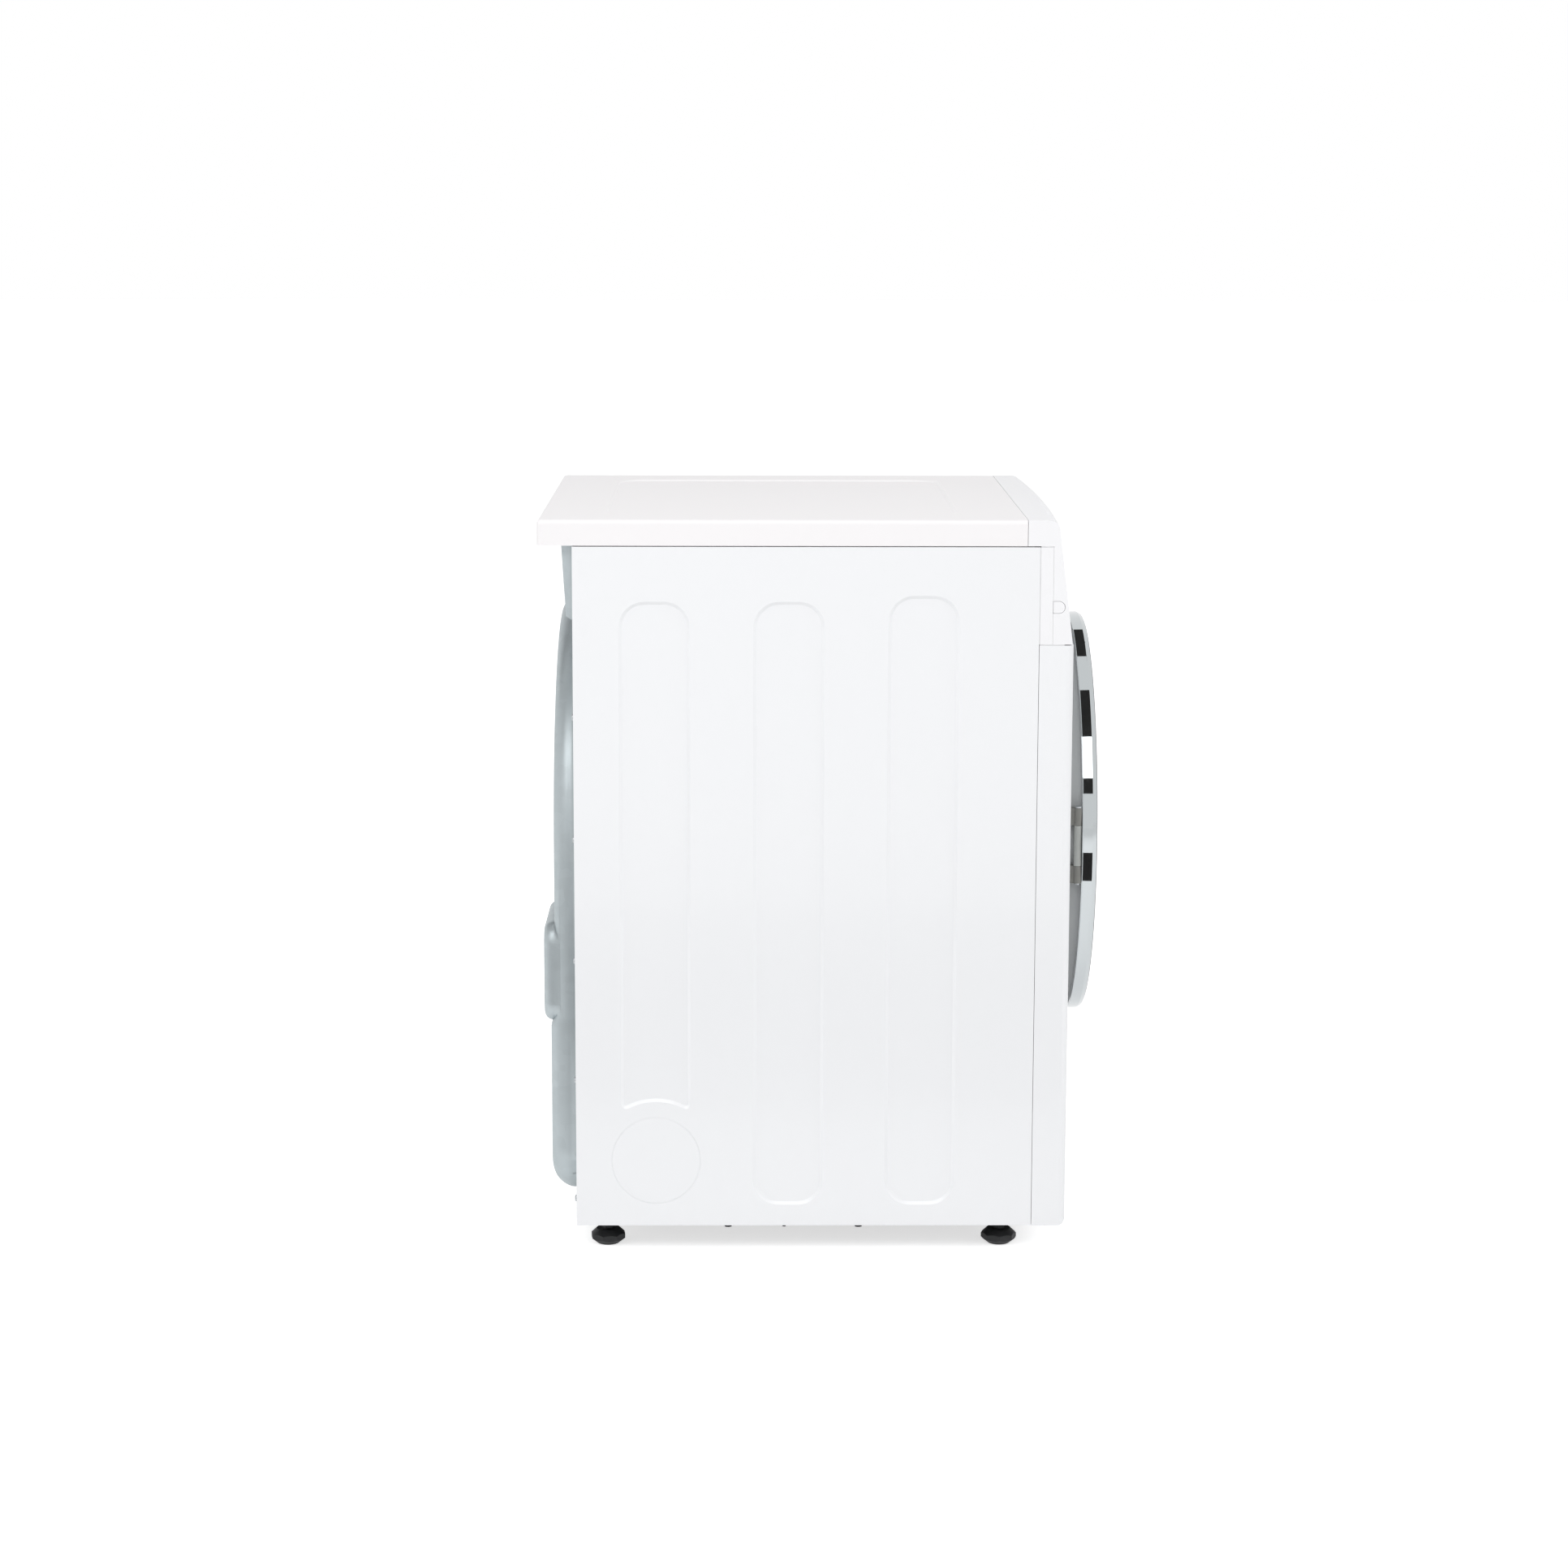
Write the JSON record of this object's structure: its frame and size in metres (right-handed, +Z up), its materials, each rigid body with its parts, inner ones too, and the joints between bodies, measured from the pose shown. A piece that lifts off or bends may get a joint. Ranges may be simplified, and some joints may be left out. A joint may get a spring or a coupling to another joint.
{
  "type": "clothes dryer",
  "caption": "Free-standing front-loading vented clothes dryer with a round chromed door, ribbed white side panels, bowed control panel and a galvanised back.",
  "frame": {"origin": "middle of the footprint, on the floor under the feet", "axes": "+X to the right seen from the front, +Y from the door to the back, +Z up"},
  "size_m": [0.595, 0.6374, 0.846],
  "materials": {
    "warm_white_plastic": "fine satin",
    "white_enamel": "satin enamel",
    "white_plastic": "satin",
    "dark_lens": "polished",
    "board_laminate": "matt",
    "silver_plastic": "satin",
    "chrome_ring": "mirror",
    "smoked_window": "polished",
    "grey_plastic": "matt",
    "clear_glass": "polished",
    "grey_rubber": "matt",
    "zinc_steel": "zinc plated",
    "black_plastic": "matt",
    "drum_steel": "brushed",
    "bronze": "sintered",
    "cast_alloy": "as cast",
    "felt": "felted",
    "black_rubber": "matt",
    "motor_enamel": "matt",
    "galvanised_steel": "galvanised"
  },
  "bodies": {
    "cabinet": {"worktop": "warm_white_plastic", "left_side_panel": "white_enamel", "right_side_panel": "white_enamel", "front_panel": "white_enamel", "control_fascia": "white_plastic", "control_carrier": "white_plastic", "display_window": "dark_lens", "control_board": "board_laminate", "hinge_bracket": "zinc_steel", "hinge_pin": "zinc_steel", "door_catch": "black_plastic", "spindle_bush": "bronze", "bearing_housing": "cast_alloy", "front_drum_felt": "felt", "rear_drum_felt": "felt", "roller_axles": "zinc_steel", "front_bulkhead": "grey_plastic", "filter_duct": "grey_plastic", "lint_filter": "grey_plastic", "motor_body": "motor_enamel", "motor_cradle": "zinc_steel", "blower_housing": "black_plastic", "exhaust_duct": "galvanised_steel", "run_capacitor": "cast_alloy", "drum_belt": "black_rubber", "idler_spring": "zinc_steel", "rear_panel": "galvanised_steel", "upper_rear_rail": "galvanised_steel", "rear_duct_cover": "galvanised_steel", "heater": "zinc_steel", "cord_gland": "black_plastic", "rear_screws": "zinc_steel", "base_tray": "black_plastic"},
    "door": {"door_ring": "chrome_ring", "door_window": "smoked_window", "door_liner": "grey_plastic", "door_bowl": "clear_glass", "door_seal": "grey_rubber", "door_hinge_leaf": "zinc_steel", "latch_hook": "zinc_steel"},
    "drum": {"drum_shell": "drum_steel", "drum_back": "drum_steel", "drum_lifters": "grey_plastic", "drum_spindle": "zinc_steel"},
    "rotor": {"motor_shaft": "zinc_steel", "drive_pulley": "cast_alloy", "blower_wheel": "black_plastic"},
    "left_roller": {"left_drum_roller": "black_rubber"},
    "right_roller": {"right_drum_roller": "black_rubber"},
    "tensioner": {"idler_arm": "zinc_steel"},
    "idler": {"idler_pulley": "black_plastic"},
    "knob": {"program_knob": "silver_plastic"},
    "start_key": {"start_button": "silver_plastic"},
    "option_key_1": {"option_button_1": "silver_plastic"},
    "option_key_2": {"option_button_2": "silver_plastic"},
    "option_key_3": {"option_button_3": "silver_plastic"},
    "foot_front_left": {"front_left_foot": "black_plastic"},
    "foot_front_right": {"front_right_foot": "black_plastic"},
    "foot_rear_left": {"rear_left_foot": "black_plastic"},
    "foot_rear_right": {"rear_right_foot": "black_plastic"}
  },
  "joints": [
    {"name": "door_hinge", "type": "hinge", "parent": "cabinet", "child": "door", "pos_m": [-0.236, -0.29585, 0.466], "axis": [0, 0, -1], "range_deg": [0, 120]},
    {"name": "drum_spin", "type": "hinge", "parent": "cabinet", "child": "drum", "pos_m": [0, 0.26845, 0.466], "axis": [0, 1, 0], "continuous": true},
    {"name": "rotor_spin", "type": "hinge", "parent": "cabinet", "child": "rotor", "pos_m": [-0.15, -0.13235, 0.12601], "axis": [0, 1, 0], "continuous": true},
    {"name": "left_roller_spin", "type": "hinge", "parent": "cabinet", "child": "left_roller", "pos_m": [-0.16949, -0.21065, 0.24906], "axis": [0, 1, 0], "continuous": true},
    {"name": "right_roller_spin", "type": "hinge", "parent": "cabinet", "child": "right_roller", "pos_m": [0.16949, -0.21065, 0.24906], "axis": [0, 1, 0], "continuous": true},
    {"name": "tensioner_swing", "type": "hinge", "parent": "cabinet", "child": "tensioner", "pos_m": [-0.01505, 0.01665, 0.07804], "axis": [0, 1, 0], "range_deg": [-3, 4], "stiffness_Nm_per_rad": 8, "deforming": ["drum_belt", "idler_spring"]},
    {"name": "idler_spin", "type": "hinge", "parent": "tensioner", "child": "idler", "pos_m": [-0.07505, 0.00165, 0.12804], "axis": [0, 1, 0], "continuous": true},
    {"name": "knob_turn", "type": "hinge", "parent": "cabinet", "child": "knob", "pos_m": [0, -0.27985, 0.766], "axis": [0, -0.9928, 0.1201], "continuous": true},
    {"name": "start_press", "type": "slide", "parent": "cabinet", "child": "start_key", "axis": [-0.0299, 0.9923, -0.1201], "range_m": [0, 0.0015], "stiffness_N_per_m": 300},
    {"name": "option_press_1", "type": "slide", "parent": "cabinet", "child": "option_key_1", "axis": [-0.0136, 0.9927, -0.1201], "range_m": [0, 0.0015], "stiffness_N_per_m": 300},
    {"name": "option_press_2", "type": "slide", "parent": "cabinet", "child": "option_key_2", "axis": [-0.0182, 0.9926, -0.1201], "range_m": [0, 0.0015], "stiffness_N_per_m": 300},
    {"name": "option_press_3", "type": "slide", "parent": "cabinet", "child": "option_key_3", "axis": [-0.0228, 0.9925, -0.1201], "range_m": [0, 0.0015], "stiffness_N_per_m": 300},
    {"name": "front_left_foot_turn", "type": "hinge", "parent": "cabinet", "child": "foot_front_left", "pos_m": [-0.255, -0.20915, 0.0333], "axis": [0, 0, 1], "continuous": true},
    {"name": "front_right_foot_turn", "type": "hinge", "parent": "cabinet", "child": "foot_front_right", "pos_m": [0.255, -0.20915, 0.0333], "axis": [0, 0, 1], "continuous": true},
    {"name": "rear_left_foot_turn", "type": "hinge", "parent": "cabinet", "child": "foot_rear_left", "pos_m": [-0.255, 0.24485, 0.0333], "axis": [0, 0, 1], "continuous": true},
    {"name": "rear_right_foot_turn", "type": "hinge", "parent": "cabinet", "child": "foot_rear_right", "pos_m": [0.255, 0.24485, 0.0333], "axis": [0, 0, 1], "continuous": true}
  ],
  "couplings": [
    {"joint": "rotor_spin", "follows": "drum_spin", "ratio": 23.797},
    {"joint": "left_roller_spin", "follows": "drum_spin", "ratio": -12.75},
    {"joint": "right_roller_spin", "follows": "drum_spin", "ratio": -12.75},
    {"joint": "idler_spin", "follows": "drum_spin", "ratio": -15.775}
  ]
}
